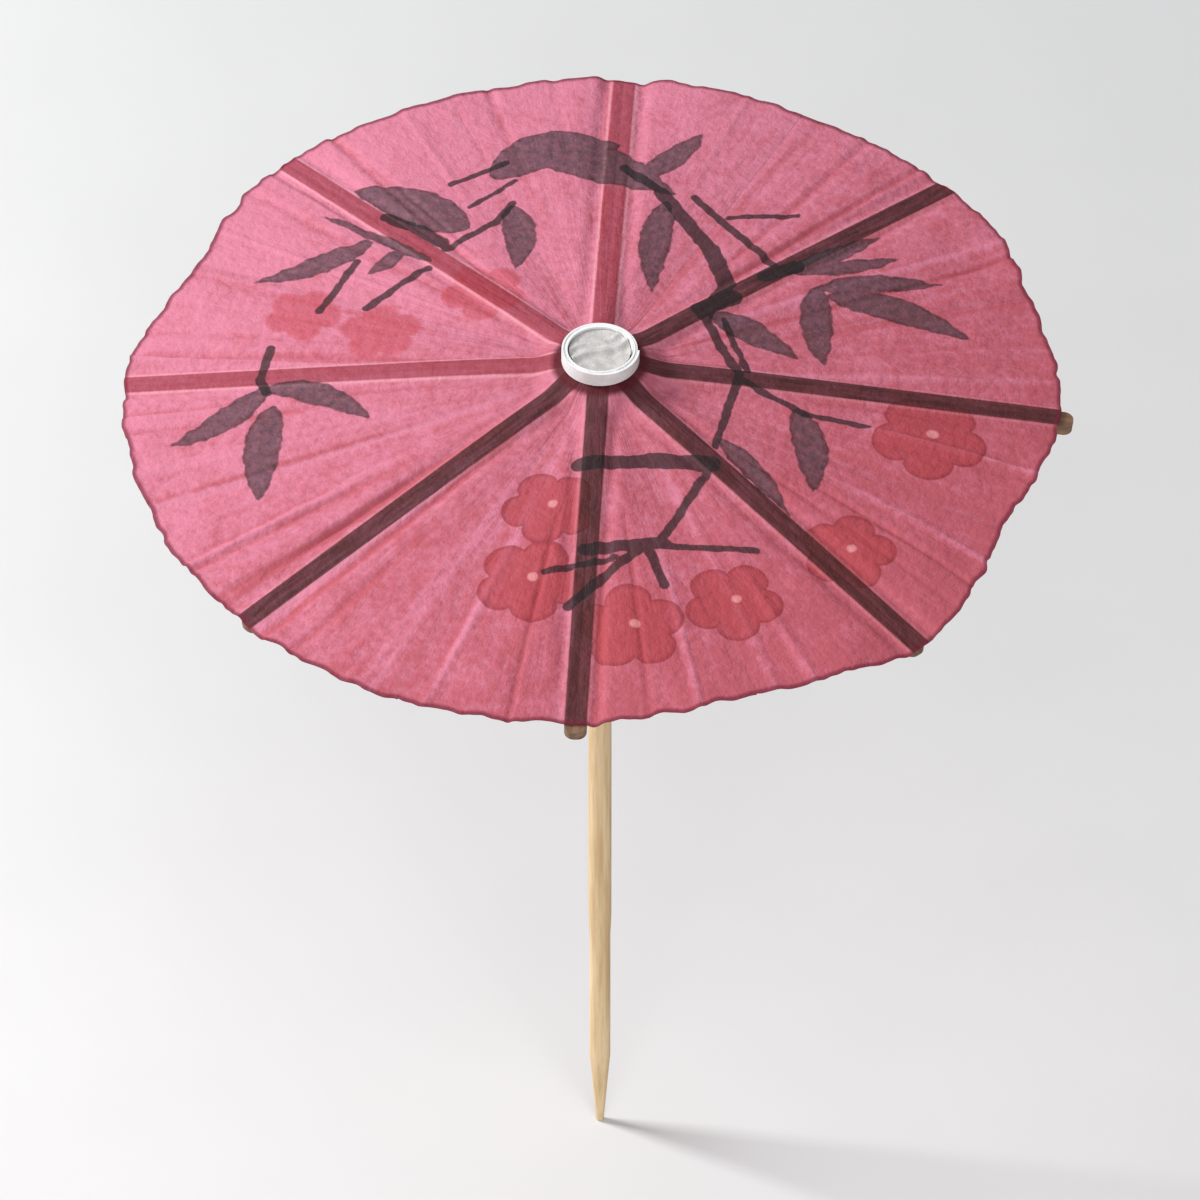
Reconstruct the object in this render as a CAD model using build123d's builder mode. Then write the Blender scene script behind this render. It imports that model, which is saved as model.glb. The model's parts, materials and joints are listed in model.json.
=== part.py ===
"""A cocktail umbrella pick: a paper parasol on a pointed stick, which opens and folds.

The frame has +Z up along the stick. The origin is on the stick's axis, in the middle of the
straight length near the point, where a garnish or a holder grips the stick. The model is the
open parasol. Ribs are numbered from 1, counter-clockwise seen from above, starting at +X.
"""

import os
from math import asin, atan2, cos, hypot, radians, sin, tan

from build123d import *

# Stick: a rod that eases down to a slimmer grip and ends in a blunt point
stick_length = 101.6
stick_radius = 1.1
ease_length = 3.0
grip_radius = 1.0
grip_length = 16.0
point_length = 9.0
point_radius = 0.35
point_edge = 0.2

# Ribs: flat strips that hinge in the crown, from their open slope to their folded slope
rib_count = 8
rib_slope = 7.0
rib_folded_slope = 80.0
rib_length = 42.4
rib_width = 2.1
rib_depth = 1.0
rib_neck_length = 4.0
rib_shoulder_length = 1.5
rib_tip_radius = 0.9
pivot_radius = 2.4

# Stretchers: as long as the pin's distance along the rib, so the runner moves straight
stretcher_length = 20.0
stretcher_width = 1.5
stretcher_depth = 0.9
stretcher_neck_spare = 0.22
stretcher_shoulder_length = 0.8

# Necks: the narrow ends of the ribs and stretchers, which turn in slots
neck_width = 0.9

# Wire of the two loops and the rib pins
wire_radius = 0.18
wire_bend_radius = 0.5
wire_end_gap = 0.3

# Crown and runner collars
hub_rim = 0.42
hub_skirt = 1.4
hub_roof_thickness = 0.25
hub_edge = 0.15
runner_collar = 1.6

# Paper sheet: the ribs reach a little past its edge
paper_thickness = 0.15
rib_tip_reach = 1.33
centre_radius = 4.2
panel_start = 2.0
crease_rise = 1.6
crease_slit_inner = 0.2
crease_slit_rim = 0.5

# Roll on the apex, and the sleeve under the runner
roll_height = 1.2
roll_turns = 5
roll_strip = 0.28
roll_lap_gap = 0.18
roll_above_stick = 0.4
sleeve_height = 6.0
sleeve_turns = 3
sleeve_strip = 0.2
sleeve_lap_gap = 0.06

# Ring under the sleeve
ring_wall = 1.2
ring_height = 2.0
ring_edge = 0.4

# Clearances
hinge_clearance = 0.04
pin_seat_clearance = 0.02
pin_end_gap = 0.05
slot_clearance = 0.1
slot_floor_gap = 0.15
glue_gap = 0.03
runner_clearance = 0.12
ring_clearance = 0.04
ring_gap = 0.05
panel_edge_gap = 0.06

# Heights on the stick, from the middle of the grip
rib_step = 360 / rib_count
half_step = radians(rib_step / 2)
slope = radians(rib_slope)
hub_roof = rib_depth / 2 + slot_clearance
centre_bottom = hub_roof + hub_roof_thickness + glue_gap
roll_bottom = centre_bottom + paper_thickness + glue_gap
stick_end = -grip_length / 2 - point_length
stick_top = stick_end + stick_length
pivot_height = stick_top + roll_above_stick - roll_height - roll_bottom
runner_height = pivot_height - 2 * stretcher_length * sin(slope)

# Collars: wide enough to cover the wire's corners
hub_radius = pivot_radius / cos(half_step) + wire_radius + hub_rim

# Slots: in the collars for the necks, and in each rib for its stretcher
slot_width = neck_width + 2 * slot_clearance
slot_floor = pivot_radius - rib_depth / 2 - slot_floor_gap
narrow_angle = min(2 * slope, radians(180 - 2 * rib_folded_slope))
slot_reach = (
    rib_depth / 2 / tan(narrow_angle)
    + (stretcher_depth / 2 + slot_clearance) / sin(narrow_angle)
)
stretcher_neck_length = slot_reach + stretcher_neck_spare

# Paper: flat half gores that would meet at an apex on the stick's axis
paper_top = rib_depth / 2 + glue_gap + paper_thickness
apex_along_rib = -(pivot_radius + paper_top * sin(slope)) / cos(slope)
sheet_radius = rib_length - rib_tip_reach - apex_along_rib
sheet_inner_radius = panel_start - apex_along_rib
flat_half_gore = sheet_radius * tan(asin(cos(slope) * sin(half_step)))
panel_angle = atan2(hypot(flat_half_gore, crease_rise), sheet_radius)
chord_tilt = -atan2(sin(slope) * sin(half_step), cos(half_step))
panel_tilt = chord_tilt + atan2(crease_rise, flat_half_gore)


def directions(azimuth):
    """Unit vectors away from the stick and round it, at an azimuth in degrees."""
    turn = radians(azimuth)
    return Vector(cos(turn), sin(turn), 0), Vector(-sin(turn), cos(turn), 0)


def rib_frame(azimuth):
    """A rib's pivot, its direction, its upward normal and the direction across it."""
    outward, across = directions(azimuth)
    upward = Vector(0, 0, 1)
    along = outward * cos(slope) - upward * sin(slope)
    normal = outward * sin(slope) + upward * cos(slope)
    pivot = outward * pivot_radius + upward * pivot_height
    return pivot, along, normal, across


def strip_outline(length, width, neck_length, shoulder_length, neck_at_end):
    """Outline of a flat strip with a narrow neck at its start, and at its end if asked."""
    body_start = neck_length + shoulder_length
    half = [(0, neck_width / 2), (neck_length, neck_width / 2), (body_start, width / 2)]
    if neck_at_end:
        half += [(length - x, y) for x, y in reversed(half)]
    else:
        half += [(length, width / 2)]
    return half + [(x, -y) for x, y in reversed(half)]


def slotted_hub(pivot_level, open_side, collar, bore):
    """A collar whose slots open outwards and to open_side, +1 for up and -1 for down."""
    roof = pivot_level - open_side * hub_roof
    back = roof - open_side * (hub_roof_thickness + collar)
    front = pivot_level + open_side * hub_skirt
    with BuildPart() as hub:
        with BuildSketch(Plane.XY.offset(back)):
            Circle(hub_radius)
        extrude(amount=front - back)
        chamfer(hub.edges().filter_by(GeomType.CIRCLE), length=hub_edge)
        with BuildSketch(Plane.XY.offset(roof)):
            with PolarLocations((slot_floor + hub_radius) / 2, rib_count):
                Rectangle(hub_radius - slot_floor, slot_width)
        extrude(amount=front - roof, mode=Mode.SUBTRACT)
        groove = wire_radius + hinge_clearance
        with BuildSketch(Plane.XY.offset(pivot_level)):
            Circle(hub_radius)
            Circle(pivot_radius - groove, mode=Mode.SUBTRACT)
        extrude(amount=groove, both=True, mode=Mode.SUBTRACT)
        with BuildSketch(Plane.XY.offset(back)):
            Circle(bore)
        extrude(amount=front - back, mode=Mode.SUBTRACT)
    return hub.part


def wire_loop(level):
    """The hinge wire: straight across each slot, bent between them, its ends apart in one tooth."""
    corners = []
    for index in range(rib_count):
        outward, around = directions(rib_step * (index + 0.5))
        corners.append(outward * (pivot_radius / cos(half_step)) + Vector(0, 0, level))
    last = corners.pop()
    start = last + (corners[0] - last).normalized() * wire_end_gap
    finish = last + (corners[-1] - last).normalized() * wire_end_gap
    with BuildPart() as loop:
        with BuildLine() as path:
            FilletPolyline(start, *corners, finish, radius=wire_bend_radius)
        with BuildSketch(Plane(origin=path.line @ 0, z_dir=path.line % 0)):
            Circle(wire_radius)
        sweep()
    return loop.part


def paper_roll(bore, turns, strip, lap_gap, height, base):
    """A paper strip wound round the stick in half turns, with a gap between the laps."""
    rise = strip + lap_gap
    with BuildPart() as roll:
        with BuildSketch(Plane.XY.offset(base)):
            with BuildLine():
                for start in (bore, bore + strip):
                    for turn in range(turns):
                        near = start + rise * turn
                        far = near + rise
                        ThreePointArc((near, 0), (0, near), (-near, 0))
                        ThreePointArc((-near, 0), (rise / 2, -(near + far) / 2), (far, 0))
                outer_end = bore + rise * turns
                Line((bore, 0), (bore + strip, 0))
                Line((outer_end, 0), (outer_end + strip, 0))
            make_face()
        extrude(amount=height)
    return roll.part


def half_gore(azimuth, side):
    """A flat half gore of the sheet, hinged along the top of a rib, on its +1 or -1 side."""
    pivot, along, normal, across = rib_frame(azimuth)
    sheet_apex = pivot + along * apex_along_rib + normal * paper_top
    away = across * side * cos(panel_tilt) + normal * sin(panel_tilt)
    with BuildPart() as panel:
        with BuildSketch(Plane(origin=sheet_apex, x_dir=along, z_dir=along.cross(away))):
            corners = []
            for radius, slit in (
                (sheet_inner_radius, crease_slit_inner),
                (sheet_radius, crease_slit_rim),
            ):
                angles = (asin(panel_edge_gap / radius), panel_angle - asin(slit / radius))
                middle = sum(angles) / 2
                corners.append(
                    [(radius * cos(a), radius * sin(a)) for a in (angles[0], middle, angles[1])]
                )
            inner, rim = corners
            with BuildLine():
                Line(inner[0], rim[0])
                ThreePointArc(*rim)
                Line(rim[2], inner[2])
                ThreePointArc(*reversed(inner))
            make_face()
        extrude(amount=-side * paper_thickness)
    return panel.part


def save(piece, name):
    """Label a finished piece and write its file."""
    piece.label = name
    export_step(piece, f"parts/{name}.step")


os.makedirs("parts", exist_ok=True)

# Stick, turned about its axis
with BuildPart() as pick_stick:
    with BuildSketch(Plane.XZ):
        with BuildLine():
            Polyline(
                (0, stick_end),
                (point_radius, stick_end),
                (grip_radius, -grip_length / 2),
                (grip_radius, grip_length / 2),
                (stick_radius, grip_length / 2 + ease_length),
                (stick_radius, stick_top),
                (0, stick_top),
                close=True,
            )
        make_face()
    revolve(axis=Axis.Z)
    fillet(pick_stick.edges().group_by(Axis.Z)[0], radius=point_edge)
save(pick_stick.part, "pick_stick")

# Crown: the fixed collar and the wire that the ribs hinge on
save(slotted_hub(pivot_height, -1, 0, stick_radius + glue_gap), "crown_hub")
save(wire_loop(pivot_height), "crown_wire")

# Middle of the paper sheet, pierced by the stick
with BuildPart() as canopy_centre:
    with BuildSketch(Plane.XY.offset(pivot_height + centre_bottom)):
        Circle(centre_radius)
        Circle(stick_radius + glue_gap, mode=Mode.SUBTRACT)
    extrude(amount=paper_thickness)
save(canopy_centre.part, "canopy_centre")

# Roll of white paper that holds the sheet down on the stick
top_roll = paper_roll(
    stick_radius + glue_gap,
    roll_turns,
    roll_strip,
    roll_lap_gap,
    roll_height,
    pivot_height + roll_bottom,
)
save(top_roll, "top_roll")

# Runner: the sliding collar, its wire and the rolled sleeve below it
save(slotted_hub(runner_height, 1, runner_collar, stick_radius + runner_clearance), "runner_hub")
save(wire_loop(runner_height), "runner_wire")
collar_end = runner_height - hub_roof - hub_roof_thickness - runner_collar
sleeve_base = collar_end - glue_gap - sleeve_height
runner_sleeve = paper_roll(
    stick_radius + runner_clearance,
    sleeve_turns,
    sleeve_strip,
    sleeve_lap_gap,
    sleeve_height,
    sleeve_base,
)
save(runner_sleeve, "runner_sleeve")

# Ring that grips the stick under the sleeve
with BuildPart() as lock_ring:
    with BuildSketch(Plane.XY.offset(sleeve_base - ring_gap)):
        Circle(stick_radius + ring_wall)
    extrude(amount=-ring_height)
    fillet(lock_ring.edges(), radius=ring_edge)
    with BuildSketch(Plane.XY.offset(sleeve_base - ring_gap)):
        Circle(stick_radius + ring_clearance)
    extrude(amount=-ring_height, mode=Mode.SUBTRACT)
save(lock_ring.part, "lock_ring")

for number in range(1, rib_count + 1):
    azimuth = rib_step * (number - 1)
    pivot, along, normal, across = rib_frame(azimuth)
    rib_side = Plane(origin=pivot, x_dir=along, z_dir=across * -1)
    rib_pin_place = pivot + along * stretcher_length
    outward, around = directions(azimuth)
    runner_pivot = outward * pivot_radius + Vector(0, 0, runner_height)
    inward = (runner_pivot - rib_pin_place).normalized()
    stretcher_side = Plane(origin=rib_pin_place, x_dir=inward, z_dir=across)

    # Rib: an eye in the crown, a neck, then a flat strip with a slot round the stretcher's pin
    with BuildPart() as rib:
        with BuildSketch(Plane(origin=pivot, x_dir=along, z_dir=normal)):
            Polygon(
                *strip_outline(rib_length, rib_width, rib_neck_length, rib_shoulder_length, False),
                align=None,
            )
            with Locations((stretcher_length, 0)):
                SlotCenterToCenter(2 * slot_reach, slot_width, mode=Mode.SUBTRACT)
        extrude(amount=rib_depth / 2, both=True)
        upright_edges = rib.edges().filter_by(Axis(pivot, normal))
        fillet(upright_edges.sort_by(Axis(pivot, along))[-2:], radius=rib_tip_radius)
        with BuildSketch(rib_side):
            Circle(rib_depth / 2)
        extrude(amount=neck_width / 2, both=True)
        with BuildSketch(rib_side):
            Circle(wire_radius + hinge_clearance)
            with Locations((stretcher_length, 0)):
                Circle(wire_radius + pin_seat_clearance)
        extrude(amount=rib_width / 2, both=True, mode=Mode.SUBTRACT)
    save(rib.part, f"rib_{number}")

    # Pin: a short wire across the rib's slot
    with BuildPart() as rib_pin:
        with BuildSketch(Plane(origin=rib_pin_place, z_dir=across)):
            Circle(wire_radius)
        extrude(amount=rib_width / 2 - pin_end_gap, both=True)
    save(rib_pin.part, f"rib_pin_{number}")

    # Stretcher: a strip with an eye at the rib's pin and an eye on the runner's wire
    with BuildPart() as stretcher:
        with BuildSketch(Plane(origin=rib_pin_place, x_dir=inward, z_dir=inward.cross(across))):
            Polygon(
                *strip_outline(
                    stretcher_length,
                    stretcher_width,
                    stretcher_neck_length,
                    stretcher_shoulder_length,
                    True,
                ),
                align=None,
            )
        extrude(amount=stretcher_depth / 2, both=True)
        with BuildSketch(stretcher_side):
            with Locations((0, 0), (stretcher_length, 0)):
                Circle(stretcher_depth / 2)
        extrude(amount=neck_width / 2, both=True)
        with BuildSketch(stretcher_side):
            with Locations((0, 0), (stretcher_length, 0)):
                Circle(wire_radius + hinge_clearance)
        extrude(amount=neck_width / 2, both=True, mode=Mode.SUBTRACT)
    save(stretcher.part, f"stretcher_{number}")

    # Paper on both sides of the rib, out to the creases
    save(half_gore(azimuth, 1), f"canopy_panel_{number}_left")
    save(half_gore(azimuth, -1), f"canopy_panel_{number}_right")
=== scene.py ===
# %% [markdown]
# # A cocktail umbrella pick
# The hard parts of the pick, such as the stick, the ribs and the wire hinges, come from CAD. They
# load here as a fixed frame, and keep their shape and place. Blender adds what CAD leaves plain:
# the crinkled printed paper, the two paper rolls, and a finish on every surface.

# %% Load the frame
import json
from math import asin, atan2, cos, degrees, exp, hypot, pi, radians, sin, tan
from random import Random

import bmesh
import bpy
import numpy as np
from mathutils import Matrix, Vector, noise


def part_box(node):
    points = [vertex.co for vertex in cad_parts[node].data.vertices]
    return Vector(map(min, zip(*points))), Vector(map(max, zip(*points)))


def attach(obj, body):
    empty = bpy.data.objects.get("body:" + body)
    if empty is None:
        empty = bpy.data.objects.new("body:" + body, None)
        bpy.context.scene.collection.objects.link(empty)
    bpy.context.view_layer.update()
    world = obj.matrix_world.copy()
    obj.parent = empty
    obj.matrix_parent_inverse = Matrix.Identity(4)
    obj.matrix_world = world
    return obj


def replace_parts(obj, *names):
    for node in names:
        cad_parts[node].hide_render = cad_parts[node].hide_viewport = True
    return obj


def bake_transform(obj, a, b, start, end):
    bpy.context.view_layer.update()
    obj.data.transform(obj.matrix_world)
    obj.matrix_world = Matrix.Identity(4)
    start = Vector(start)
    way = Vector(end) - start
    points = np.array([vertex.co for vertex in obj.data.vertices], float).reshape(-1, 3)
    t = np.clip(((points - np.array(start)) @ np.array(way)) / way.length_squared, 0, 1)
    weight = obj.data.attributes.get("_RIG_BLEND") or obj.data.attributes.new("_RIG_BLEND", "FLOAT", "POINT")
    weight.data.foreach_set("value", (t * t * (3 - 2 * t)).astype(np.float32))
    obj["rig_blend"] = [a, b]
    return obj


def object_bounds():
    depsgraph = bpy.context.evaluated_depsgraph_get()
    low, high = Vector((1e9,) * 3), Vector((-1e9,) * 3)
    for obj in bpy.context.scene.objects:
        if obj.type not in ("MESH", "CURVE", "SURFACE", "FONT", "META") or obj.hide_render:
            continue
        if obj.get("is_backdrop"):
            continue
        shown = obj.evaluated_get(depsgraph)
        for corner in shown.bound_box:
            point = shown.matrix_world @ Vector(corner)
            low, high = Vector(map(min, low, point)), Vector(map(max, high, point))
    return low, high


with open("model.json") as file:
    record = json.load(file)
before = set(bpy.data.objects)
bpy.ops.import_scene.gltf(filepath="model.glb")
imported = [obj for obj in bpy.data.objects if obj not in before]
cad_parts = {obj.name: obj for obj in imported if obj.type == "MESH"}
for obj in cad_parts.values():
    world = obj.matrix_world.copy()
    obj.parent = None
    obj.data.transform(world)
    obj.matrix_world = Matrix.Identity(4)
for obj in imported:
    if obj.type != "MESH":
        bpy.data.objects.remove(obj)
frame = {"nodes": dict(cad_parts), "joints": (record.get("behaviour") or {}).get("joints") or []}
cad_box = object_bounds()
nodes = frame["nodes"]
joints = {joint["name"]: joint for joint in frame["joints"]}
MM = 0.001


def in_mm(sizes):
    """Sizes in metres as rounded millimetres, for printing."""
    return [round(size / MM, 1) for size in sizes]


print(len(nodes), "nodes,", len(joints), "joints, box", in_mm(cad_box[1] - cad_box[0]), "mm")

# %% [markdown]
# ## The view
# The pick is seen from the front, a little to the right and from well above, so that the printed
# side of the paper fills the picture. A long lens from far away keeps the far edge nearly as wide as
# the near one. The camera looks at a point on the stick, and a track quaternion turns it there.

# %% Camera
VIEW_AZIMUTH = radians(3)
VIEW_ELEVATION = radians(43.8)
VIEW_DISTANCE = 2.4
VIEW_LENS = 760
view_target = Vector((0, 0, 0.0525))
view_back = Vector((
    sin(VIEW_AZIMUTH) * cos(VIEW_ELEVATION),
    -cos(VIEW_AZIMUTH) * cos(VIEW_ELEVATION),
    sin(VIEW_ELEVATION),
))
camera = bpy.data.objects.new("camera", bpy.data.cameras.new("camera"))
camera.data.lens = VIEW_LENS
camera.data.clip_start = 0.01
camera.location = view_target + view_back * VIEW_DISTANCE
camera.rotation_euler = (-view_back).to_track_quat("-Z", "Y").to_euler()
bpy.context.scene.collection.objects.link(camera)
bpy.context.scene.camera = camera
print("camera at", in_mm(camera.location), "mm")

# %% [markdown]
# ## Light and floor
# Large soft lamps stand close to a small object, as round a product table. The main lamp is on the
# left and a little behind, so the paper glows and its creases show. The floor is a wide pale sheet
# under the stick's point. The Standard view transform keeps the dye's colour as it is mixed.

# %% Lamps and sky
def add_lamp(name, place, target, size, power):
    """A square soft lamp at place, turned to the target."""
    lamp = bpy.data.objects.new(name, bpy.data.lights.new(name, "AREA"))
    lamp.data.size = size
    lamp.data.energy = power
    lamp.location = place
    lamp.rotation_euler = (Vector(target) - Vector(place)).to_track_quat("-Z", "Y").to_euler()
    bpy.context.scene.collection.objects.link(lamp)


canopy_middle = (0, 0, 0.075)
under_canopy = (0, 0, 0.06)
add_lamp("main lamp", (-0.38, 0.10, 0.32), canopy_middle, 0.13, 2.75)
add_lamp("front lamp", (0.06, -0.42, 0.48), canopy_middle, 0.40, 1.8)
add_lamp("under lamp", (-0.12, -0.40, 0.04), under_canopy, 0.25, 0.35)

sky = bpy.data.worlds.new("studio")
sky.use_nodes = True
sky_light = sky.node_tree.nodes["Background"]
sky_light.inputs["Color"].default_value = (0.93, 0.95, 1.0, 1)
sky_light.inputs["Strength"].default_value = 0.36
bpy.context.scene.world = sky
bpy.context.scene.view_settings.view_transform = "Standard"
print(len(bpy.data.lights), "lamps and a pale sky")

# %% Floor
FLOOR_HALF_WIDTH = 2.0
floor_level = cad_box[0].z
floor_mesh = bmesh.new()
bmesh.ops.create_grid(floor_mesh, x_segments=1, y_segments=1, size=FLOOR_HALF_WIDTH)
bmesh.ops.translate(floor_mesh, verts=floor_mesh.verts, vec=(0, 0, floor_level))
floor = bpy.data.objects.new("floor", bpy.data.meshes.new("floor"))
floor_mesh.to_mesh(floor.data)
floor_mesh.free()
bpy.context.scene.collection.objects.link(floor)
floor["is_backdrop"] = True
print("floor at", round(floor_level / MM, 2), "mm")

# %% [markdown]
# ## Building materials from nodes
# Every finish below is a node tree. Nodes could be added and linked one by one, but a few short
# helpers keep the trees readable. One fills a node's inputs and one adds a node. The others add what
# comes up most often: a sum, a mix of two colours, a smooth step, a noise and a bump.

# %% Helpers that add nodes
def fill(tree, node, inputs):
    """Set a node's inputs to values, or link them to the outputs of other nodes."""
    for socket, value in dict(inputs).items():
        if isinstance(value, bpy.types.NodeSocket):
            tree.links.new(value, node.inputs[socket])
        else:
            node.inputs[socket].default_value = value
    return node


def put(tree, kind, inputs=(), **settings):
    """Add a node, set its options and fill its inputs."""
    made = tree.nodes.new(kind)
    for option, value in settings.items():
        setattr(made, option, value)
    return fill(tree, made, inputs)


def calc(tree, operation, *values, clamp=False):
    """A Math node's result."""
    return put(tree, "ShaderNodeMath", enumerate(values), operation=operation, use_clamp=clamp).outputs[0]


def vector_calc(tree, operation, inputs, output=0):
    """A Vector Math node's result."""
    return put(tree, "ShaderNodeVectorMath", inputs, operation=operation).outputs[output]


def weighted(tree, *parts):
    """A sum of values, each times its weight."""
    total = 0.0
    for value, weight in parts:
        total = calc(tree, "MULTIPLY_ADD", value, weight, total)
    return total


print("helpers for nodes and sums ready")

# %% Helpers for colours and textures
def mix(tree, share, first, second):
    """A colour between two, by share."""
    made = put(tree, "ShaderNodeMix", {0: share, 6: first, 7: second}, data_type="RGBA")
    return made.outputs[2]


def ramp(tree, value, start, end, most=1.0):
    """A smooth step from 0 at start to most at end, where end may be the lower one."""
    inputs = {"Value": value, "From Min": start, "From Max": end, "To Max": most}
    return put(tree, "ShaderNodeMapRange", inputs, interpolation_type="SMOOTHSTEP").outputs[0]


def speckle(tree, place, scale, detail=3.0, roughness=0.55):
    """A Noise texture's value, about 0.5 on average."""
    inputs = {"Vector": place, "Scale": scale, "Detail": detail, "Roughness": roughness}
    return put(tree, "ShaderNodeTexNoise", inputs).outputs[0]


def bump(tree, height, strength, depth):
    """A Bump node's normal, from a height and the depth of a height of 1, in metres."""
    inputs = {"Height": height, "Strength": strength, "Distance": depth}
    return put(tree, "ShaderNodeBump", inputs).outputs["Normal"]


def millimetres(tree):
    """The piece's own coordinates, in millimetres."""
    place = put(tree, "ShaderNodeTexCoord").outputs["Object"]
    return vector_calc(tree, "SCALE", {0: place, "Scale": 1 / MM})


print("helpers for colours and textures ready")

# %% Helpers for materials and groups, and the floor's finish
def new_material(name):
    """A material with a bare Principled shader: the material, its tree and the shader."""
    material = bpy.data.materials.new(name)
    material.use_nodes = True
    return material, material.node_tree, material.node_tree.nodes["Principled BSDF"]


def new_group(name, takes, gives):
    """A shader node group with named sockets: the group, its input node and its output node."""
    group = bpy.data.node_groups.new(name, "ShaderNodeTree")
    for socket, kind in takes.items():
        group.interface.new_socket(socket, in_out="INPUT", socket_type=f"NodeSocket{kind}")
    for socket, kind in gives.items():
        group.interface.new_socket(socket, in_out="OUTPUT", socket_type=f"NodeSocket{kind}")
    return group, group.nodes.new("NodeGroupInput"), group.nodes.new("NodeGroupOutput")


floor_material, tree, shader = new_material("pale floor")
mottle = speckle(tree, millimetres(tree), 0.05)
floor_tone = mix(tree, mottle, (0.64, 0.64, 0.635, 1), (0.68, 0.68, 0.675, 1))
fill(tree, shader, {"Base Color": floor_tone, "Roughness": 0.8})
floor.data.materials.append(floor_material)
print("floor finish:", len(tree.nodes), "nodes")

# %% [markdown]
# ## Which rib is near
# Grain on a rib runs along that rib, and the paper is painted dark in a strip over it, as painted shade of
# the rib under the paper. Both need the same facts about a point: how far it is from the stick, and how far
# to the side of the nearest rib. The eight ribs are 45 degrees apart, so rounding the azimuth to a whole
# step finds that rib. A node group works this out once for all the materials that use it. It also says how
# far a rib is to the front right, because the grain differs from rib to rib, and so do the painted shade and
# painted highlights on the paper.

# %% The rib compass group
RIB_COUNT = 8
RIB_STEP = 2 * pi / RIB_COUNT
FRONT_RIGHT = radians(-45)

rib_compass, given, result = new_group(
    "rib compass",
    {"Place": "Vector"},
    {"Radius": "Float", "Across": "Float", "Front": "Float", "Way": "Vector"},
)
split = put(rib_compass, "ShaderNodeSeparateXYZ", {0: given.outputs["Place"]})
flat = put(rib_compass, "ShaderNodeCombineXYZ", {0: split.outputs[0], 1: split.outputs[1]}).outputs[0]
radius = vector_calc(rib_compass, "LENGTH", {0: flat}, "Value")
azimuth = calc(rib_compass, "ARCTAN2", split.outputs[1], split.outputs[0])
steps = calc(rib_compass, "ROUND", calc(rib_compass, "DIVIDE", azimuth, RIB_STEP))
rib_azimuth = calc(rib_compass, "MULTIPLY", steps, RIB_STEP)
aside = calc(rib_compass, "SINE", calc(rib_compass, "SUBTRACT", azimuth, rib_azimuth))
fill(rib_compass, result, {
    "Radius": radius,
    "Across": calc(rib_compass, "MULTIPLY", radius, aside),
    "Front": calc(rib_compass, "COSINE", calc(rib_compass, "SUBTRACT", rib_azimuth, FRONT_RIGHT)),
    "Way": vector_calc(rib_compass, "NORMALIZE", {0: flat}),
})
print("rib compass:", len(rib_compass.nodes), "nodes")

# %% [markdown]
# ## Wood
# The stick and the turned collars are bare pale wood. The ribs and stretchers are split wood, stained
# brown. Wood grain is long: a noise that is stretched along the fibres gives the streaks, and a finer
# one gives the pores. The group takes a point whose long direction is already squeezed, so that each
# material says which way its wood grew.

# %% The wood grain group
wood_grain, given, result = new_group(
    "wood grain",
    {"Fibre Place": "Vector", "Pale": "Color", "Dark": "Color"},
    {"Color": "Color", "Height": "Float", "Roughness": "Float"},
)
streaks = speckle(wood_grain, given.outputs["Fibre Place"], 1.6, 5.0, 0.6)
pores = speckle(wood_grain, given.outputs["Fibre Place"], 9.0, 2.0)
bands = ramp(wood_grain, streaks, 0.34, 0.68)
band_tone = mix(wood_grain, bands, given.outputs["Pale"], given.outputs["Dark"])
pore_marks = ramp(wood_grain, pores, 0.56, 0.74)
pore_share = calc(wood_grain, "MULTIPLY", pore_marks, 0.45)
fill(wood_grain, result, {
    "Color": mix(wood_grain, pore_share, band_tone, given.outputs["Dark"]),
    "Height": weighted(wood_grain, (streaks, 0.5), (pore_marks, -0.6)),
    "Roughness": calc(wood_grain, "MULTIPLY_ADD", pores, 0.3, 0.42),
})
print("wood grain:", len(wood_grain.nodes), "nodes")

# %% Three woods
STICK_SQUEEZE = 0.05
RIB_SQUEEZE = 0.06


def fibres_up(tree):
    """Fibres along the stick."""
    return vector_calc(tree, "MULTIPLY", {0: millimetres(tree), 1: (1, 1, STICK_SQUEEZE)})


def fibres_out(tree):
    """Fibres along the nearest rib, shifted from rib to rib."""
    place = millimetres(tree)
    compass = put(tree, "ShaderNodeGroup", {"Place": place}, node_tree=rib_compass)
    level = put(tree, "ShaderNodeSeparateXYZ", {0: place}).outputs[2]
    inputs = {
        0: calc(tree, "MULTIPLY", compass.outputs["Radius"], RIB_SQUEEZE),
        1: compass.outputs["Across"],
        2: calc(tree, "MULTIPLY_ADD", compass.outputs["Front"], 9.0, level),
    }
    return put(tree, "ShaderNodeCombineXYZ", inputs).outputs[0]


def wood_material(name, fibre_place, pale, dark):
    """A wood of two tones. fibre_place makes the squeezed point in the material's own tree."""
    material, tree, shader = new_material(name)
    inputs = {"Fibre Place": fibre_place(tree), "Pale": pale, "Dark": dark}
    grain = put(tree, "ShaderNodeGroup", inputs, node_tree=wood_grain)
    fill(tree, shader, {
        "Base Color": grain.outputs["Color"],
        "Roughness": grain.outputs["Roughness"],
        "Normal": bump(tree, grain.outputs["Height"], 0.5, 0.06 * MM),
        "Specular IOR Level": 0.35,
    })
    return material


stick_wood = wood_material("stick wood", fibres_up, (0.74, 0.56, 0.33, 1), (0.56, 0.37, 0.18, 1))
hub_wood = wood_material("collar wood", fibres_up, (0.66, 0.47, 0.26, 1), (0.43, 0.26, 0.12, 1))
rib_wood = wood_material("rib wood", fibres_out, (0.235, 0.125, 0.07, 1), (0.105, 0.052, 0.032, 1))
print("woods:", ", ".join(wood.name for wood in (stick_wood, hub_wood, rib_wood)))

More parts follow.
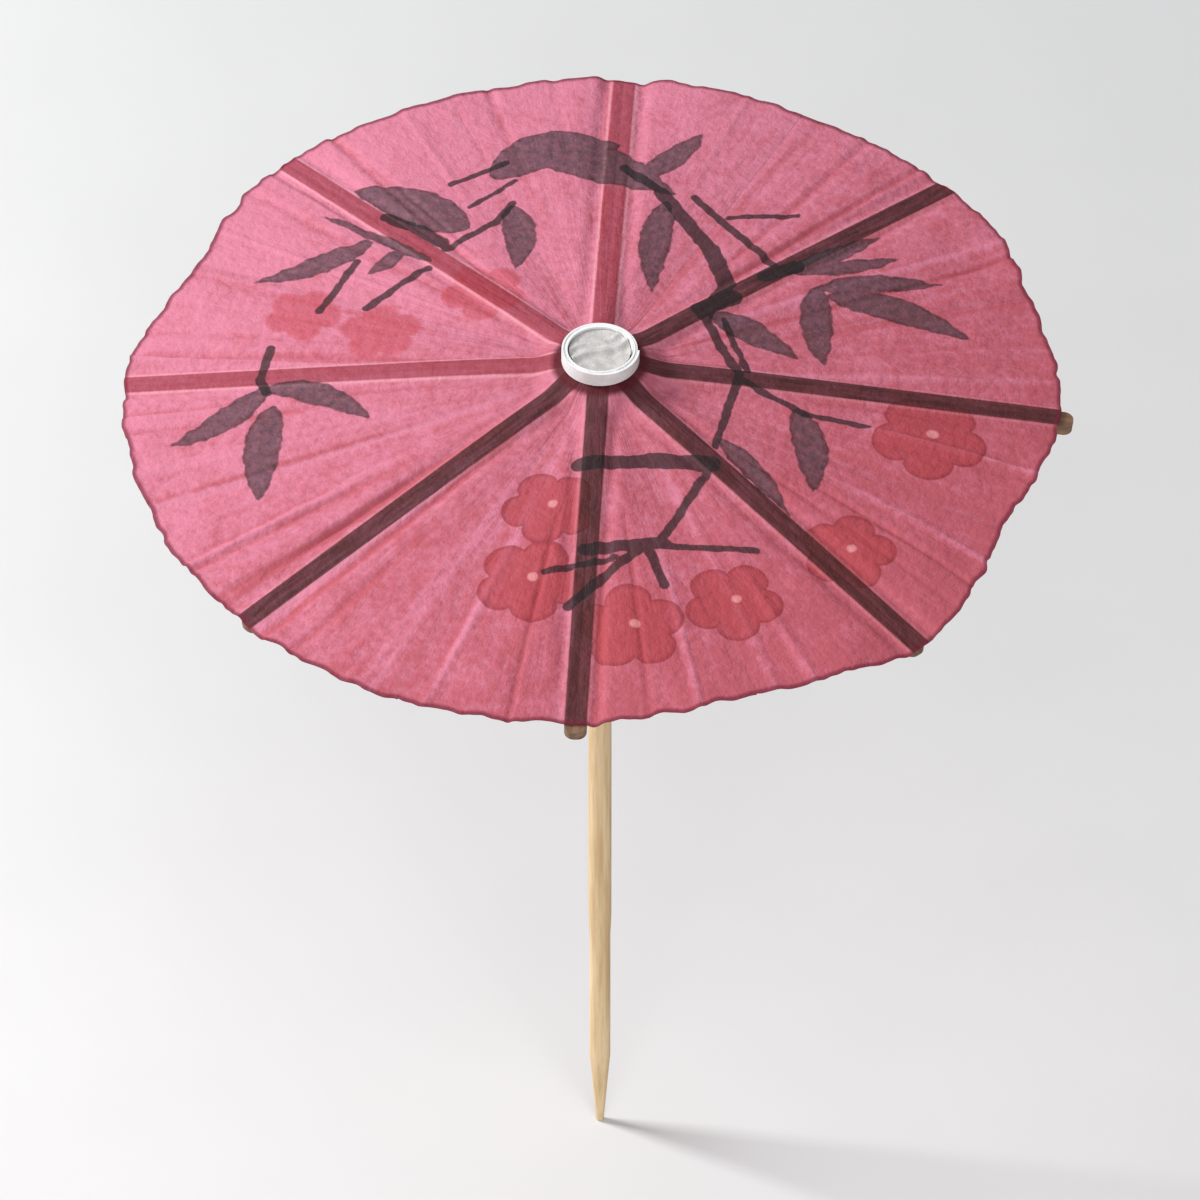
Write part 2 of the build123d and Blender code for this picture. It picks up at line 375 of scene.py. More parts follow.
# %% [markdown]
# ## Wire and ring
# The hinges are soft iron wire, a little dull, with faint drawing marks. The ring that holds the
# parasol open is a slice of milky plastic tube with a soft shine. Both are small, so a noise or two
# is enough to vary their tone and gloss, and a little light scatters in the plastic.

# %% Wire and plastic
wire_metal, tree, shader = new_material("hinge wire")
marks = speckle(tree, millimetres(tree), 6.0, 4.0)
fill(tree, shader, {
    "Base Color": mix(tree, marks, (0.34, 0.33, 0.32, 1), (0.56, 0.55, 0.53, 1)),
    "Roughness": calc(tree, "MULTIPLY_ADD", marks, 0.3, 0.22),
    "Metallic": 1.0,
})

ring_plastic, tree, shader = new_material("ring plastic")
ring_place = millimetres(tree)
haze = speckle(tree, ring_place, 0.9, 4.0)
fill(tree, shader, {
    "Base Color": mix(tree, haze, (0.70, 0.71, 0.69, 1), (0.84, 0.84, 0.80, 1)),
    "Roughness": calc(tree, "MULTIPLY_ADD", haze, 0.25, 0.22),
    "Normal": bump(tree, speckle(tree, ring_place, 7.0), 0.15, 0.03 * MM),
    "Subsurface Weight": 0.25,
    "Subsurface Scale": 0.8 * MM,
})
print("wire and ring finishes ready")

# %% [markdown]
# ## Finishing the CAD pieces
# A CAD piece arrives with a plain material. Its mesh is right already, so it only changes its finish,
# which follows from the piece's name. The CAD paper keeps its own, because the modelled paper below
# takes its place.

# %% Finish the CAD pieces
finish_of = {
    "pick_stick": stick_wood,
    "crown_hub": hub_wood,
    "runner_hub": hub_wood,
    "lock_ring": ring_plastic,
}
finished = 0
for name, piece in nodes.items():
    if name.endswith("_wire") or name.startswith("rib_pin"):
        finish = wire_metal
    elif name.startswith(("rib_", "stretcher_")):
        finish = rib_wood
    else:
        finish = finish_of.get(name)
    if finish:
        piece.data.materials.clear()
        piece.data.materials.append(finish)
        finished += 1
print(finished, "CAD pieces finished")

# %% [markdown]
# ## The shape of the sheet
# The canopy is one round sheet of tissue, glued along the eight ribs. When the parasol folds, the
# paper swings up on both sides of each rib and creases half way between two ribs. A piece can bend
# across one joint only, so the sheet is cut where the real one folds: into 16 half gores, each with
# one edge on a rib and one on a crease. All of them take their heights from the same functions of
# azimuth and radius, so the edges meet and the open sheet looks whole.
#
# The joints in the frame say where the ribs are. The sheet would meet the stick's axis at an apex,
# and each point of a half gore is a reach from that apex at an angle from its rib.

# %% Places on the sheet
HALF_STEP = RIB_STEP / 2
CREASE_RISE = 1.5 * MM


def rib_lines(number):
    """A rib's hinge point on the paper, its direction along and its direction across."""
    panel_hinge = joints[f"panel_{number}_left_fold"]
    rib_fold = joints["canopy_fold" if number == 1 else f"rib_{number}_fold"]
    return Vector(panel_hinge["pos_m"]), Vector(panel_hinge["axis"]), Vector(rib_fold["axis"])


rib_hinge, rib_way, rib_across = rib_lines(1)
rib_pivot = Vector(joints["canopy_fold"]["pos_m"])
slope = asin(-rib_way.z)
apex = rib_hinge - rib_way * (rib_hinge.x / rib_way.x)
rim_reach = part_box("canopy_panel_1_left")[1].x / rib_way.x
half_gore_width = rim_reach * tan(asin(cos(slope) * sin(HALF_STEP)))
gore_angle = atan2(hypot(half_gore_width, CREASE_RISE), rim_reach)
level_tilt = atan2(sin(slope) * sin(HALF_STEP), cos(HALF_STEP))
gore_tilt = atan2(CREASE_RISE, half_gore_width) - level_tilt
print("slope", round(degrees(slope), 2), "degrees")
print("rim reach and half gore width", in_mm((rim_reach, half_gore_width)), "mm")

# %% [markdown]
# ## Creases, wrinkles and an uneven edge
# Tissue that has been folded keeps fine straight creases that run out from the middle, and it is
# wrinkled between them. Its edge was cut by hand, so it waves in and out and falls short of the
# circle in some gores. A cloth simulation could make wrinkles too, but not in chosen places. Here a
# seeded random list places the creases, and Blender's own noise makes the wrinkles, so each run
# gives the same sheet.

# %% Fine creases
CREASE_RUN = 8 * MM
creases_in_gore = (6, 6, 8, 10, 13, 11, 6, 8)
chance = Random(11)
creases = []
for gore, count in enumerate(creases_in_gore):
    for place in range(count):
        creases.append((
            (gore + (place + chance.uniform(0.2, 0.8)) / count) * RIB_STEP,
            chance.choice((-1, 1)) * chance.uniform(0.08, 0.30) * MM,
            chance.uniform(0.40, 0.80) * MM,
            chance.uniform(5, 26) * MM,
            chance.uniform(-0.06, 0.06),
        ))


def crease_heights(plan):
    """Heights of the fine straight creases at an array of places in plan, in metres."""
    azimuths = np.arctan2(plan[:, 1], plan[:, 0])
    radii = np.linalg.norm(plan, axis=1)
    total = np.zeros(len(plan))
    for way, depth, width, start, lean in creases:
        turns = (azimuths - way - lean * radii / rim_reach + pi) % (2 * pi) - pi
        folds = np.clip(1 - np.abs(turns) * radii / width, 0, 1)
        total += depth * folds * np.clip((radii - start) / CREASE_RUN, 0, 1)
    return total


print(len(creases), "creases")

# %% Wrinkles
FLUTTER_START = 0.75
# Height and size of each kind of wrinkle, and its layer in the noise, in millimetres.
WRINKLES = {"broad": (0.14, 5.5, 0.3), "small": (0.05, 1.9, 4.1), "flutter": (0.40, 7.0, 9.0)}


def step_up(value, low, high):
    """Smooth step from 0 at low to 1 at high."""
    share = min(1.0, max(0.0, (value - low) / (high - low)))
    return share * share * (3 - 2 * share)


def wrinkle(kind, x, y):
    """Height of one kind of wrinkle at a place in plan."""
    height, size, layer = WRINKLES[kind]
    return height * MM * noise.noise(Vector((x, y, layer * MM)) / (size * MM))


def wrinkle_height(x, y, radius):
    """Height of the soft wrinkles between the creases and of the flutter near the rim."""
    flutter = wrinkle("flutter", x, y) * step_up(radius, FLUTTER_START * rim_reach, rim_reach)
    return wrinkle("broad", x, y) + wrinkle("small", x, y) + flutter


print(len(WRINKLES), "kinds of wrinkle")

# %% Uneven edge and flare
FLARE_RISE = 0.42 * MM
FLARE_START = 3.3 * MM
FLARE_RUN = 0.9 * MM
# How far the edge is past the rim's circle, in millimetres, at each rib and in the middle of each gore.
rim_at_rib = (0.0, 1.0, 1.4, 1.3, 1.5, 1.5, 0.4, 1.3)
rim_in_gore = (-0.6, -0.6, -0.3, -2.4, 0.1, 0.3, -1.6, -2.3)


def rim_at(azimuth):
    """Reach of the paper's edge at an azimuth."""
    turn = azimuth % (2 * pi) / RIB_STEP
    gore = int(turn) % RIB_COUNT
    share = turn - int(turn)
    from_rib, to_rib = rim_at_rib[gore], rim_at_rib[(gore + 1) % RIB_COUNT]
    wave = from_rib + (to_rib - from_rib) * step_up(share, 0, 1) + rim_in_gore[gore] * sin(pi * share) ** 2
    ring = Vector((cos(azimuth), sin(azimuth), 0))
    broad = 0.40 * noise.noise(ring * 9 + Vector((0, 0, 2.2)))
    ragged = broad + 0.45 * noise.noise(ring * 17) + 0.16 * noise.noise(ring * 41)
    return rim_reach + (wave + ragged) * MM


def flare(radius):
    """Rise of the sheet towards the collar that it is clamped on."""
    return FLARE_RISE * exp((FLARE_START - radius) / FLARE_RUN)


print("edge at the ribs", in_mm(rim_at(RIB_STEP * rib) for rib in range(RIB_COUNT)), "mm from the apex")

# %% [markdown]
# ## The print
# The sheet carries a traditional print in one dark ink and one deeper red: bamboo leaves on thin
# twigs, and plum blossoms. Each shape is a small formula for how deep a point lies inside it, in
# millimetres, which is more than 0 inside and less outside. The deepest value over all the shapes
# is stored on the sheet's vertices. A depth changes evenly, so the edge stays sharp between the
# vertices, and the ink moves with the paper when it folds.

# %% Places of the printed shapes, in millimetres from the stick
# Base, tip, width and bend of each leaf.
leaves = [
    ((-22.5, 19), (-33.5, 13.5), 2.4, 0.8), ((-16.5, 15.5), (-28, 23), 1.3, -0.3),
    ((-13.5, 20.5), (-25, 27), 4.6, -0.6), ((-9.7, 24.5), (-8.8, 14.5), 3.0, 0.7),
    ((-19.5, 17.5), (-22.8, 14), 1.7, 0.2), ((-12, 29), (0.5, 34.2), 5.0, 1.7),
    ((-8, 32.6), (5, 27.5), 5.2, 0.9), ((2.2, 29), (8, 36.5), 2.6, -0.4),
    ((-4, 33.5), (6, 26.5), 3.4, -0.4), ((5, 25.5), (4.3, 11.5), 2.8, -0.5),
    ((16.4, 15.9), (25.5, 23), 2.1, -0.3), ((17.5, 16.3), (27.5, 19.6), 2.0, -0.4),
    ((19.5, 13.8), (31.5, 16.5), 2.3, 0.4), ((19.8, 14.2), (21, 2.8), 2.9, -0.4),
    ((20.8, 13.2), (34.6, 8.9), 3.3, 1.0), ((9.8, 8.8), (18.5, 3.6), 2.9, 0.5),
    ((18.7, -3.2), (20.7, -14), 3.0, 0.6), ((11.5, -8), (18.7, -17), 2.0, 0.3),
    ((-31.2, -1.2), (-40.2, -9.2), 2.7, 0.9), ((-31.4, -1.4), (-21.2, -6.2), 2.9, 1.0),
    ((-30.5, -4), (-31, -16.8), 3.3, -0.5),
]
# Start, end and half width of each twig.
twigs = [
    ((-15.6, 27.5), (-10.5, 31), 0.35), ((-13.6, 24), (-9.5, 28.3), 0.3),
    ((-15.5, 17.5), (-11, 21.8), 0.4), ((-11, 21.8), (-9.6, 24.8), 0.4),
    ((-21.4, 22.6), (-19.2, 21.2), 0.75), ((-18.2, 20.6), (-16, 18.6), 0.8),
    ((-23.8, 16), (-27, 9), 0.4), ((-17, 14.8), (-22.6, 9.3), 0.42), ((0.8, 30.6), (4.6, 26.6), 0.55),
    ((4.4, 26.8), (9.5, 18.7), 0.8), ((9.5, 18.7), (11.3, 13.3), 0.9), ((11.3, 13.3), (9.4, 8.4), 0.8),
    ((9.4, 8.4), (13.1, 0.3), 0.5), ((11.2, 8.3), (13.9, 1), 0.35), ((13.1, 0.3), (11.9, -5.6), 0.45),
    ((11.9, -5.6), (11.3, -9.2), 0.4), ((7.6, 26.4), (15.6, 16.8), 0.45),
    ((11, 23.8), (17.4, 24.7), 0.35), ((9.0, 9.2), (11.9, 11.4), 1.0),
    ((14.8, 15.0), (17.6, 17.0), 0.85), ((13.3, -0.2), (19.5, -3.9), 0.4),
    ((19.5, -3.9), (25.5, -4.6), 0.32), ((-1.2, -12.6), (5.3, -11.4), 0.85),
    ((5.3, -11.4), (11, -11.6), 0.95), ((10.7, -12.6), (6.8, -21.2), 0.48),
    ((-0.2, -22.9), (7, -21.5), 0.75), ((7, -21.7), (15.8, -21.9), 0.4),
    ((5.7, -22.4), (7.4, -26.7), 0.5), ((4.7, -22.6), (-1.4, -29.7), 0.55),
    ((-3.8, -25.7), (2.7, -23.8), 0.4), ((-31.2, 3.8), (-32, -0.2), 0.45),
    ((-32, -0.2), (-31.2, -2.2), 0.5),
]
# Centre, reach and turn of each blossom.
blossoms = [
    ((31.2, -5), 5.6, 0.3), ((24.3, -20.8), 4.6, 1.1), ((13.9, -28.2), 4.8, 0.1),
    ((4.6, -32), 5.2, 0.8), ((-3.8, -17.8), 4.6, 0.5), ((-5.2, -26.8), 5.2, 1.4),
]
faint_blossoms = [((-28.5, 8.6), 3.8, 0.2), ((-21, 5.8), 4.0, 0.9), ((-11.5, 11), 4.2, 0.4)]
print(len(leaves), "leaves,", len(twigs), "twigs,", len(blossoms) + len(faint_blossoms), "blossoms")

# %% Depths inside the printed shapes
EYE_SHARE = 0.11
EYE_SHIFT = (0.3, 0.4)


def leaf_depth(spots, base, tip, width, bend):
    """Depth inside a leaf, widest two fifths of the way up and bent to one side."""
    base, tip = np.array(base), np.array(tip)
    length = np.linalg.norm(tip - base)
    way = (tip - base) / length
    share = (spots - base) @ way / length
    inside = np.clip(share, 0, 1)
    side = (spots - base) @ np.array((-way[1], way[0])) - bend * 4 * inside * (1 - inside)
    half_width = 1.5 * width * inside ** 0.6 * (1 - inside) ** 0.9
    return half_width - np.abs(side) - length * np.abs(share - inside)


def twig_depth(spots, start, end, half_width):
    """Depth inside a straight twig with round ends."""
    start, end = np.array(start), np.array(end)
    way = end - start
    share = np.clip((spots - start) @ way / (way @ way), 0, 1)
    return half_width - np.linalg.norm(spots - start - share[:, None] * way, axis=1)


def blossom_depth(spots, centre, reach, turn):
    """Depth inside a blossom of five round petals."""
    away = spots - np.array(centre)
    angle = np.arctan2(away[:, 1], away[:, 0]) + turn
    edge = reach * (0.70 + 0.30 * np.abs(np.cos(2.5 * angle)) ** 0.6)
    return edge - np.linalg.norm(away, axis=1)


def eye_depth(spots, centre, reach):
    """Depth inside the pale eye of a blossom, a little off its centre."""
    return EYE_SHARE * reach - np.linalg.norm(spots - np.array(centre) - EYE_SHIFT, axis=1)


def print_depths(spots):
    """Depths in the leaves, twigs, strong and faint petals and eyes, at spots in millimetres."""
    layers = {
        "leaf": [leaf_depth(spots, *leaf) for leaf in leaves],
        "twig": [twig_depth(spots, *twig) for twig in twigs],
        "petal": [blossom_depth(spots, *blossom) for blossom in blossoms],
        "faint_petal": [blossom_depth(spots, *blossom) for blossom in faint_blossoms],
        "eye": [eye_depth(spots, centre, reach) for centre, reach, turn in blossoms],
    }
    return {layer: np.max(depths, 0) for layer, depths in layers.items()}


print("layers of the print:", ", ".join(print_depths(np.zeros((1, 2)))))

# %% [markdown]
# ## Printed tissue
# The tissue's material is built up in layers: dye with painted shade, print, and then painted shade and
# painted highlights over the ribs, along the edge and round the roll. It reads the depths above as
# attributes, and the plan of the flat sheet as a UV map, so everything stays with the paper when it folds. A
# painted picture would do too, but formulas stay sharp at any size. The tree is long, so it is made in
# several cells.

# %% Places on the tissue
SHEET_SPAN = 90.0


def attribute(tree, name):
    """A value stored on the piece's vertices."""
    return put(tree, "ShaderNodeAttribute", attribute_name=name).outputs["Fac"]


canopy_paper, tissue, tissue_shader = new_material("printed tissue")
sheet_map = put(tissue, "ShaderNodeUVMap", uv_map="sheet").outputs[0]
centred = vector_calc(tissue, "SUBTRACT", {0: sheet_map, 1: (0.5, 0.5, 0)})
plan = vector_calc(tissue, "SCALE", {0: centred, "Scale": SHEET_SPAN})
compass = put(tissue, "ShaderNodeGroup", {"Place": plan}, node_tree=rib_compass)
radius, across = compass.outputs["Radius"], compass.outputs["Across"]
front, way = compass.outputs["Front"], compass.outputs["Way"]
under = attribute(tissue, "under")
print("the tissue's map is", SHEET_SPAN, "mm wide")

# %% [markdown]
# ### Dye, painted shade and painted highlights
# Dye is uneven in thin paper. Several noises vary the red: fine fibres, broad clouds, small crinkles and
# rays that run out from the middle. The sheet is painted a little darker towards the front right, as painted
# shade away from the main lamp. It is painted paler on the ridges of its fine creases and darker in their
# hollows, as painted highlights and painted shade.

# %% Uneven dye, painted shade and painted highlights
fibres = speckle(tissue, plan, 3.4, 4.0, 0.65)
clouds = speckle(tissue, plan, 0.30, 4.0)
crinkles = speckle(tissue, plan, 1.1, 3.0, 0.5)
around = vector_calc(tissue, "SCALE", {0: way, "Scale": 16.0})
outward = put(tissue, "ShaderNodeCombineXYZ", {2: calc(tissue, "MULTIPLY", radius, 0.05)}).outputs[0]
rays = speckle(tissue, vector_calc(tissue, "ADD", {0: around, 1: outward}), 1.0, 5.0, 0.7)
split = put(tissue, "ShaderNodeSeparateXYZ", {0: plan})
dye_and_painted_light = weighted(
    tissue,
    (clouds, 0.5),
    (fibres, 0.3),
    (rays, 0.45),
    (crinkles, 0.55),
    # Painted shade: darker towards the front right.
    (calc(tissue, "SUBTRACT", split.outputs[0], split.outputs[1]), 0.0045),
    # Painted highlights on crease ridges, painted shade in crease hollows.
    (attribute(tissue, "crease"), -0.22),
)
dyed_with_painted_light = mix(tissue, ramp(tissue, dye_and_painted_light, 0.60, 1.20), (0.735, 0.255, 0.365, 1), (0.57, 0.125, 0.165, 1))
print("dye:", len(tissue.nodes), "nodes so far")

# %% [markdown]
# ### Blossoms
# The petals are a thin deeper red with a darker line along their edge. Three of the blossoms are
# faint, and each of the others has a small pale eye.

# %% Printed blossoms
faint_share = ramp(tissue, attribute(tissue, "faint_petal"), -0.2, 0.4, 0.55)
with_faint = mix(tissue, faint_share, dyed_with_painted_light, (0.56, 0.070, 0.090, 1))
petal = attribute(tissue, "petal")
petal_tone = mix(tissue, ramp(tissue, petal, 0.10, 0.75), (0.34, 0.030, 0.038, 1), (0.49, 0.062, 0.074, 1))
with_petals = mix(tissue, ramp(tissue, petal, -0.05, 0.14, 0.72), with_faint, petal_tone)
eye_share = ramp(tissue, attribute(tissue, "eye"), -0.1, 0.2, 0.8)
with_eyes = mix(tissue, eye_share, with_petals, (0.85, 0.36, 0.38, 1))
print("blossoms:", len(tissue.nodes), "nodes so far")

# %% [markdown]
# ### Painted shade over the ribs
# Over the front ribs the paper is painted dark in strips, streaked along each rib, as painted shade of the
# ribs under the lit paper. Over the back ribs the painted strips are only a deeper red. Beside a strip the
# paper is painted pale, a painted highlight along the rib's edge that is stronger beside the back ribs. The
# underside has no strips, because the ribs are there.

# %% Rib strips
beside = calc(tissue, "ABSOLUTE", across)
on_front = ramp(tissue, front, -0.5, -0.2)
# Painted highlight: a pale band beside each strip, stronger beside the back ribs.
rib_edge_highlight = calc(tissue, "MULTIPLY", ramp(tissue, beside, 1.04, 1.20), ramp(tissue, beside, 1.50, 1.20))
highlight_share = calc(tissue, "MULTIPLY", rib_edge_highlight, calc(tissue, "MULTIPLY_ADD", on_front, -0.4, 0.6))
with_painted_highlight = mix(tissue, highlight_share, with_eyes, (0.88, 0.42, 0.48, 1))
# Painted shade of the ribs under the paper: dark strips over the front ribs, deeper red over the back ones.
streak_out = calc(tissue, "MULTIPLY", radius, 0.12)
streak_place = put(tissue, "ShaderNodeCombineXYZ", {0: streak_out, 1: across, 2: front}).outputs[0]
strip_streaks = calc(tissue, "MULTIPLY_ADD", speckle(tissue, streak_place, 2.2), 0.5, 0.72)
strip_dark = calc(tissue, "MULTIPLY_ADD", on_front, 0.20, 0.72)
strip = calc(tissue, "MULTIPLY", ramp(tissue, beside, 1.10, 0.96), strip_dark)
strip_share = calc(tissue, "MULTIPLY", strip, strip_streaks, clamp=True)
strip_on_top = calc(tissue, "MULTIPLY", strip_share, calc(tissue, "SUBTRACT", 1.0, under))
rib_shade_tone = mix(tissue, on_front, (0.34, 0.026, 0.040, 1), (0.075, 0.020, 0.020, 1))
with_rib_shade = mix(tissue, strip_on_top, with_painted_highlight, rib_shade_tone)
print("rib strips:", len(tissue.nodes), "nodes so far")

# %% [markdown]
# ### Ink
# Leaves and twigs are printed in one dark ink, which is thin and grainy inside the leaves and darker
# at their edges. A noise that is added to the depths makes the edges a little rough. Some of the ink
# shows through to the underside.

# %% Leaves and twigs
ink_grain = calc(tissue, "MULTIPLY_ADD", speckle(tissue, plan, 1.3, 4.0, 0.7), 0.75, 0.45, clamp=True)
rough_edge = calc(tissue, "MULTIPLY_ADD", speckle(tissue, plan, 0.8, 1.0, 0.5), 0.7, -0.35)
through = calc(tissue, "MULTIPLY_ADD", under, -0.35, 0.92)
leaf = calc(tissue, "ADD", attribute(tissue, "leaf"), rough_edge)
leaf_share = calc(tissue, "MULTIPLY", ramp(tissue, leaf, -0.08, 0.14), ink_grain)
leaf_tone = mix(tissue, ramp(tissue, leaf, 0.15, 0.60), (0.030, 0.021, 0.025, 1), (0.062, 0.052, 0.062, 1))
with_leaves = mix(tissue, calc(tissue, "MULTIPLY", leaf_share, through), with_rib_shade, leaf_tone)
twig = calc(tissue, "MULTIPLY_ADD", rough_edge, 0.6, attribute(tissue, "twig"))
twig_share = ramp(tissue, twig, -0.05, 0.10, 0.92)
with_ink = mix(tissue, calc(tissue, "MULTIPLY", twig_share, through), with_leaves, (0.024, 0.018, 0.020, 1))
print("ink:", len(tissue.nodes), "nodes so far")

# %% [markdown]
# ### Edge, relief and glow
# Along the cut edge the paper is painted darker, as painted shade, and a ring round the roll is painted
# dark, as the roll's painted shadow. A bump adds the relief that is finer than the mesh. Tissue lets light
# through, so a Translucent shader is mixed with the Principled one.

# %% Edge, relief and glow of the tissue
# Painted shade: a dark line along the cut edge.
rim_shade_share = ramp(tissue, attribute(tissue, "rim_gap"), 0.55, 0.10, 0.75)
with_rim_shade = mix(tissue, rim_shade_share, with_ink, (0.20, 0.018, 0.040, 1))
# Painted shadow: a dark ring round the foot of the roll.
roll_shadow_share = ramp(tissue, radius, 4.9, 4.15, 0.92)
paper_colour = mix(tissue, roll_shadow_share, with_rim_shade, (0.12, 0.012, 0.018, 1))
fuzz = speckle(tissue, plan, 9.0, 2.0)
relief = weighted(tissue, (fibres, 0.55), (rays, 1.4), (crinkles, 1.7), (fuzz, 0.2))
paper_normal = bump(tissue, relief, 0.7, 0.18 * MM)
fill(tissue, tissue_shader, {
    "Base Color": paper_colour,
    "Roughness": calc(tissue, "MULTIPLY_ADD", fibres, 0.25, 0.52),
    "Normal": paper_normal,
    "Specular IOR Level": 0.25,
})
glow = put(tissue, "ShaderNodeBsdfTranslucent", {"Color": paper_colour, "Normal": paper_normal})
both = put(tissue, "ShaderNodeMixShader", {0: 0.30, 1: tissue_shader.outputs[0], 2: glow.outputs[0]})
fill(tissue, tissue.nodes["Material Output"], {"Surface": both.outputs[0]})
print("tissue:", len(tissue.nodes), "nodes")

# %% [markdown]
# ## Meeting at the folds
# Two rigid halves don't meet exactly at every angle of the fold. So the sheet dips towards each mid
# crease, just as far as it has to for the two edges to meet when the parasol is folded. Each half also
# goes a little past the mid plane: when it is open, the left half lies under the thin edge of the right.
# How far to dip is worked out by folding one point of the edge as the joints do, with and without a
# dip, and measuring how far it then is from the mid plane.

# %% How far the crease dips
SEAM_GAP = 0.125 * MM
OVERLAP = 0.40 * MM
OVERLAP_RUN = (5 * MM, 10 * MM)
DIP_RUN = (4.4 * MM, 6.8 * MM)
rib_turn = radians(joints["canopy_fold"]["range_deg"][1])
panel_turn = radians(joints["panel_1_left_fold"]["range_deg"][1])


def away_from_rib(along, across, side):
    """Direction away from a rib in the flat half gore on its left (+1) or right (-1)."""
    return across * side * cos(gore_tilt) + along.cross(across) * sin(gore_tilt)


def seam_angle(reach):
    """Angle from the rib at which a half gore ends, a little past the mid plane."""
    return gore_angle + OVERLAP * step_up(reach, *OVERLAP_RUN) / reach


def folded_miss(reach, dip):
    """How far the end of rib 1's left half gore is past the mid plane when the parasol is folded."""
    angle = seam_angle(reach)
    place = apex + (rib_way * cos(angle) + away_from_rib(rib_way, rib_across, 1) * sin(angle)) * reach
    place.z -= dip
    place = Matrix.Rotation(panel_turn, 3, rib_way) @ (place - rib_hinge) + rib_hinge
    place = Matrix.Rotation(rib_turn, 3, rib_across) @ (place - rib_pivot) + rib_pivot
    return place.y * cos(HALF_STEP) - place.x * sin(HALF_STEP)


def crease_dip(reach):
    """How far the mid crease dips, so that a half gore meets its neighbour when folded."""
    miss, next_miss = folded_miss(reach, 0), folded_miss(reach, MM)
    return (-SEAM_GAP - miss) / (next_miss - miss) * MM * step_up(reach, *DIP_RUN)


print("dip at the rim", round(crease_dip(rim_reach) / MM, 2), "mm")

# %% [markdown]
# ## Cutting the half gores
# Each half gore starts as a flat grid. Its columns become angles from the rib and its rows become
# reaches from the apex. A gentle crown rounds the sheet between the ribs, a narrow groove lies
# beside each rib where the paper dips off its edge, and creases and wrinkles come on top. Heights
# are added straight up, so that neighbours still share their edges. An extrusion of all the faces
# gives the sheet its thickness, and the vertices that it adds are the underside.

# %% Heights of the paper
RIB_HALF_WIDTH = 1.05 * MM
GROOVE_DEPTH = 0.26 * MM
GROOVE_PLACE = 1.75 * MM
GROOVE_WIDTH = 0.65 * MM
GROOVE_RUN = (5 * MM, 9 * MM)
RIB_RUN = (RIB_HALF_WIDTH, 2.4 * RIB_HALF_WIDTH)
SEAM_RUN = (0.4 * MM, 5 * MM)
SEAM_LOOSE = 0.05
ROLL_RUN = (4.5 * MM, 10 * MM)


def ridge(distance, height, width):
    """Height of a round ridge at a distance from its middle."""
    return height * exp(-((distance / width) ** 2))


def paper_height(x, y, beside_rib, share, crease):
    """Height added to a flat half gore, by place, distance and share from the rib, and fine crease."""
    radius = hypot(x, y)
    seam = abs(1 - share) * radius * HALF_STEP
    off_rib = step_up(beside_rib, *RIB_RUN)
    off_seam = SEAM_LOOSE + (1 - SEAM_LOOSE) * step_up(seam, *SEAM_RUN)
    off_roll = step_up(radius, *ROLL_RUN)
    loose = off_rib * off_seam * off_roll * (crease + wrinkle_height(x, y, radius))
    crown = CREASE_RISE * radius / rim_reach * (share - share * share)
    groove = ridge(beside_rib - GROOVE_PLACE, GROOVE_DEPTH, GROOVE_WIDTH) * step_up(radius, *GROOVE_RUN)
    return crown - groove + flare(radius) + loose


print("groove", round(GROOVE_DEPTH / MM, 2), "mm deep beside each rib")

# %% From bmesh to a piece of paper
CREASE_UNIT = 0.2 * MM


def add_piece(mesh_in_hand, name, material, merge_angle=50):
    """Turn a bmesh into a smooth-shaded piece with sharp cut edges."""
    mesh = bpy.data.meshes.new(name)
    mesh_in_hand.to_mesh(mesh)
    mesh_in_hand.free()
    mesh.shade_smooth()
    mesh.set_sharp_from_angle(angle=radians(merge_angle))
    mesh.materials.append(material)
    piece = bpy.data.objects.new(name, mesh)
    bpy.context.scene.collection.objects.link(piece)
    return piece


def map_paper(piece, top_count):
    """Store the sheet's plan as a UV map, and the print, rim, underside and creases as attributes."""
    mesh = piece.data
    places = np.zeros(len(mesh.vertices) * 3)
    mesh.vertices.foreach_get("co", places)
    plan_mm = places.reshape(-1, 3)[:, :2] / MM
    corners = np.zeros(len(mesh.loops), int)
    mesh.loops.foreach_get("vertex_index", corners)
    mesh.uv_layers.new(name="sheet").data.foreach_set("uv", (0.5 + plan_mm[corners] / SHEET_SPAN).ravel())
    values = print_depths(plan_mm)
    rims = [rim_at(atan2(y, x)) * cos(slope) / MM for x, y in plan_mm]
    values["rim_gap"] = np.array(rims) - np.linalg.norm(plan_mm, axis=1)
    values["under"] = (np.arange(len(plan_mm)) >= top_count).astype(float)
    values["crease"] = crease_heights(plan_mm * MM) / CREASE_UNIT
    for name, value in values.items():
        mesh.attributes.new(name, "FLOAT", "POINT").data.foreach_set("value", value.astype(np.float32))


print("creases are stored in units of", round(CREASE_UNIT / MM, 1), "mm")

# %% Laying out and thickening a half gore
COLUMNS = 66
ROWS = 132
GORE_START = 3.42 * MM
PAPER = 0.12 * MM
THIN_EDGE = 0.02 * MM
LAP_DROP = 0.03 * MM
LAP_FADE = 0.6 * MM
LAP_RUN = (5 * MM, 6.5 * MM)


